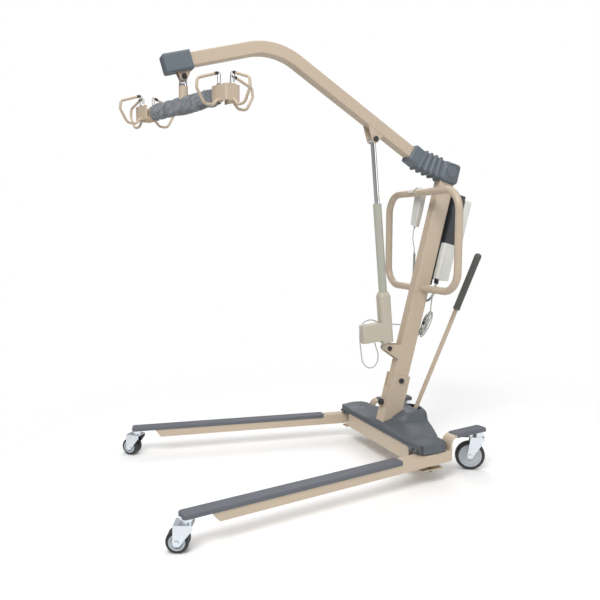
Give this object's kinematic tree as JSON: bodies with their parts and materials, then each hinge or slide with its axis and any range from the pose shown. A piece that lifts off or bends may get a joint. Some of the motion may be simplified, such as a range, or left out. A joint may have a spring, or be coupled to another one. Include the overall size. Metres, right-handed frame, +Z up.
{
  "type": "patient lift hoist",
  "caption": "Mobile patient lift: splayed wheeled base, leaning mast, bent boom raised by an electric actuator, swivelling hanger with sling hooks.",
  "frame": {"origin": "on the floor, midway between the two leg pivots", "axes": "+X forward towards the lifted person, +Y left, +Z up"},
  "size_m": [1.5082, 1.0766, 1.7506],
  "materials": {
    "tan_paint": "satin powder coat",
    "grey_moulding": "satin moulded",
    "pad_rubber": "matte",
    "boot_rubber": "matte moulded",
    "zinc": "bright zinc plate",
    "chrome": "polished",
    "steel": "turned",
    "black_steel": "black oxide",
    "wheel_hub": "moulded",
    "tyre": "matte",
    "black_plastic": "moulded",
    "light_plastic": "fine grain",
    "cream_plastic": "fine grain",
    "battery_plastic": "fine grain",
    "tube_paint": "satin",
    "red_plastic": "moulded",
    "button_grey": "matte",
    "pale_cable": "satin",
    "curl_cable": "satin",
    "grip_rubber": "ribbed matte",
    "sleeve_fabric": "woven, padded"
  },
  "bodies": {
    "base": {"base_beam": "tan_paint", "base_cover": "grey_moulding", "base_bolts": "black_steel", "mast_bracket": "tan_paint"},
    "knob": {"lock_knob": "black_plastic"},
    "tie": {"tie_bar": "zinc"},
    "lever": {"shift_lever": "tan_paint", "lever_grip": "grip_rubber"},
    "leg_left_body": {"leg_left": "tan_paint", "leg_pads_left": "pad_rubber"},
    "leg_right_body": {"leg_right": "tan_paint", "leg_pads_right": "pad_rubber"},
    "mast": {"mast_tube": "tan_paint", "push_handle": "tan_paint", "control_mount": "black_plastic", "control_box": "light_plastic", "handset_case": "light_plastic", "mast_bolts": "black_steel", "boom_boot": "boot_rubber", "actuator_lead": "pale_cable", "cable_hank": "pale_cable", "handset_lead": "pale_cable", "handset_curl": "curl_cable"},
    "battery_body": {"battery": "battery_plastic"},
    "stop": {"stop_button": "red_plastic"},
    "button_up": {"handset_button_up": "button_grey"},
    "button_down": {"handset_button_down": "button_grey"},
    "boom": {"boom_tube": "tan_paint", "boom_cap": "boot_rubber", "boom_bolts": "black_steel"},
    "actuator": {"actuator_housing": "cream_plastic", "actuator_tube": "tube_paint", "lift_spindle": "steel", "motor_lead": "pale_cable"},
    "rod": {"lift_rod": "chrome"},
    "link": {"hanger_link": "chrome"},
    "hanger": {"hanger_bar": "tan_paint", "hanger_sleeve": "sleeve_fabric", "hanger_hooks_left": "tan_paint", "hanger_hooks_right": "tan_paint"},
    "front_caster_left": {"front_fork_left": "zinc"},
    "front_wheels_left": {"front_hubs_left": "wheel_hub", "front_tyres_left": "tyre"},
    "rear_caster_left": {"rear_fork_left": "zinc"},
    "rear_wheel_left": {"rear_hub_left": "wheel_hub", "rear_tyre_left": "tyre"},
    "brake_left": {"brake_pedal_left": "black_plastic"},
    "front_caster_right": {"front_fork_right": "zinc"},
    "front_wheels_right": {"front_hubs_right": "wheel_hub", "front_tyres_right": "tyre"},
    "rear_caster_right": {"rear_fork_right": "zinc"},
    "rear_wheel_right": {"rear_hub_right": "wheel_hub", "rear_tyre_right": "tyre"},
    "brake_right": {"brake_pedal_right": "black_plastic"},
    "keeper_front_left_body": {"keeper_front_left": "chrome"},
    "keeper_outer_left_body": {"keeper_outer_left": "chrome"},
    "keeper_rear_left_body": {"keeper_rear_left": "chrome"},
    "keeper_front_right_body": {"keeper_front_right": "chrome"},
    "keeper_outer_right_body": {"keeper_outer_right": "chrome"},
    "keeper_rear_right_body": {"keeper_rear_right": "chrome"}
  },
  "joints": [
    {"name": "lever_swing", "type": "hinge", "parent": "base", "child": "lever", "pos_m": [-0.088, 0, 0.0925], "axis": [0.9588, 0, 0.284], "range_deg": [0, 23.6]},
    {"name": "tie_slide", "type": "slide", "parent": "base", "child": "tie", "axis": [0, 1, 0], "range_m": [-0.0082, 0]},
    {"name": "leg_left_pivot", "type": "hinge", "parent": "base", "child": "leg_left_body", "pos_m": [0, 0.326, 0], "axis": [0, 0, 1], "range_deg": [-9.2, 0.2]},
    {"name": "leg_right_pivot", "type": "hinge", "parent": "base", "child": "leg_right_body", "pos_m": [0, -0.326, 0], "axis": [0, 0, 1], "range_deg": [-0.2, 9.2]},
    {"name": "mast_fold", "type": "hinge", "parent": "base", "child": "mast", "pos_m": [-0.04561, 0, 0.355], "axis": [0, 1, 0], "range_deg": [0, 30]},
    {"name": "knob_pull", "type": "slide", "parent": "base", "child": "knob", "axis": [0.9681, 0, 0.2504], "range_m": [0, 0.012], "stiffness_N_per_m": 600, "springref_m": -0.002},
    {"name": "boom_pivot", "type": "hinge", "parent": "mast", "child": "boom", "pos_m": [-0.28535, 0, 1.282], "axis": [0, -1, 0], "range_deg": [-32, 2], "deforming": ["boom_boot"]},
    {"name": "actuator_tilt", "type": "hinge", "parent": "mast", "child": "actuator", "pos_m": [0.014, 0, 0.505], "axis": [0, -1, 0], "range_deg": [-2.8, 0.3]},
    {"name": "rod_slide", "type": "slide", "parent": "actuator", "child": "rod", "axis": [0.0905, 0, 0.9959], "range_m": [-0.262, 0.016]},
    {"name": "battery_lift", "type": "slide", "parent": "mast", "child": "battery_body", "axis": [-0.2504, 0, 0.9681], "range_m": [0, 0.1]},
    {"name": "stop_press", "type": "slide", "parent": "mast", "child": "stop", "axis": [0, 1, 0], "range_m": [0, 0.004], "stiffness_N_per_m": 800, "springref_m": -0.001},
    {"name": "up_press", "type": "slide", "parent": "mast", "child": "button_up", "axis": [1, 0, 0], "range_m": [0, 0.0014], "stiffness_N_per_m": 600, "springref_m": -0.0005},
    {"name": "down_press", "type": "slide", "parent": "mast", "child": "button_down", "axis": [1, 0, 0], "range_m": [0, 0.0014], "stiffness_N_per_m": 600, "springref_m": -0.0005},
    {"name": "hanger_swing", "type": "hinge", "parent": "boom", "child": "link", "pos_m": [0.907, 0, 1.589], "axis": [0, 1, 0], "range_deg": [-35, 35]},
    {"name": "hanger_swivel", "type": "hinge", "parent": "link", "child": "hanger", "pos_m": [0.907, 0, 1.5], "axis": [0, 0, 1], "continuous": true},
    {"name": "front_swivel_left", "type": "hinge", "parent": "leg_left_body", "child": "front_caster_left", "pos_m": [1.03707, 0.49026, 0], "axis": [0, 0, 1], "continuous": true},
    {"name": "front_roll_left", "type": "hinge", "parent": "front_caster_left", "child": "front_wheels_left", "pos_m": [1.0622, 0.47907, 0.038], "axis": [0.4067, 0.9135, 0], "continuous": true},
    {"name": "rear_swivel_left", "type": "hinge", "parent": "leg_left_body", "child": "rear_caster_left", "pos_m": [-0.27655, 0.2822, 0], "axis": [0, 0, 1], "continuous": true},
    {"name": "rear_roll_left", "type": "hinge", "parent": "rear_caster_left", "child": "rear_wheel_left", "pos_m": [-0.24857, 0.26471, 0.0625], "axis": [0.5299, 0.848, 0], "continuous": true},
    {"name": "brake_press_left", "type": "hinge", "parent": "rear_caster_left", "child": "brake_left", "pos_m": [-0.24941, 0.26524, 0.151], "axis": [0.5299, 0.848, 0], "range_deg": [0, 12]},
    {"name": "front_swivel_right", "type": "hinge", "parent": "leg_right_body", "child": "front_caster_right", "pos_m": [1.03707, -0.49026, 0], "axis": [0, 0, 1], "continuous": true},
    {"name": "front_roll_right", "type": "hinge", "parent": "front_caster_right", "child": "front_wheels_right", "pos_m": [1.05751, -0.50866, 0.038], "axis": [0.6691, 0.7431, 0], "continuous": true},
    {"name": "rear_swivel_right", "type": "hinge", "parent": "leg_right_body", "child": "rear_caster_right", "pos_m": [-0.27655, -0.2822, 0], "axis": [0, 0, 1], "continuous": true},
    {"name": "rear_roll_right", "type": "hinge", "parent": "rear_caster_right", "child": "rear_wheel_right", "pos_m": [-0.24689, -0.29667, 0.0625], "axis": [0.4384, 0.8988, 0], "continuous": true},
    {"name": "brake_press_right", "type": "hinge", "parent": "rear_caster_right", "child": "brake_right", "pos_m": [-0.24779, -0.29623, 0.151], "axis": [0.4384, 0.8988, 0], "range_deg": [0, 12]},
    {"name": "keeper_front_left", "type": "hinge", "parent": "hanger", "child": "keeper_front_left_body", "pos_m": [0.84205, 0.25223, 1.5195], "axis": [-0.3502, 0.9367, 0], "range_deg": [-35, 0], "stiffness_Nm_per_rad": 0.02, "springref_deg": 20.05},
    {"name": "keeper_outer_left", "type": "hinge", "parent": "hanger", "child": "keeper_outer_left_body", "pos_m": [0.80211, 0.28053, 1.5195], "axis": [-0.9367, -0.3502, 0], "range_deg": [-35, 0], "stiffness_Nm_per_rad": 0.02, "springref_deg": 20.05},
    {"name": "keeper_rear_left", "type": "hinge", "parent": "hanger", "child": "keeper_rear_left_body", "pos_m": [0.79054, 0.23297, 1.5195], "axis": [0.3502, -0.9367, 0], "range_deg": [-35, 0], "stiffness_Nm_per_rad": 0.02, "springref_deg": 20.05},
    {"name": "keeper_front_right", "type": "hinge", "parent": "hanger", "child": "keeper_front_right_body", "pos_m": [1.02346, -0.23297, 1.5195], "axis": [-0.3502, 0.9367, 0], "range_deg": [-35, 0], "stiffness_Nm_per_rad": 0.02, "springref_deg": 20.05},
    {"name": "keeper_outer_right", "type": "hinge", "parent": "hanger", "child": "keeper_outer_right_body", "pos_m": [1.01189, -0.28053, 1.5195], "axis": [0.9367, 0.3502, 0], "range_deg": [-35, 0], "stiffness_Nm_per_rad": 0.02, "springref_deg": 20.05},
    {"name": "keeper_rear_right", "type": "hinge", "parent": "hanger", "child": "keeper_rear_right_body", "pos_m": [0.97194, -0.25223, 1.5195], "axis": [0.3502, -0.9367, 0], "range_deg": [-35, 0], "stiffness_Nm_per_rad": 0.02, "springref_deg": 20.05}
  ],
  "couplings": [
    {"joint": "leg_left_pivot", "follows": "lever_swing", "ratio": -0.3813},
    {"joint": "leg_right_pivot", "follows": "lever_swing", "ratio": 0.3813},
    {"joint": "tie_slide", "follows": "lever_swing", "m_per_rad": -0.0191},
    {"joint": "rod_slide", "follows": "boom_pivot", "m_per_rad": 0.392},
    {"joint": "actuator_tilt", "follows": "boom_pivot", "ratio": 0.07}
  ]
}
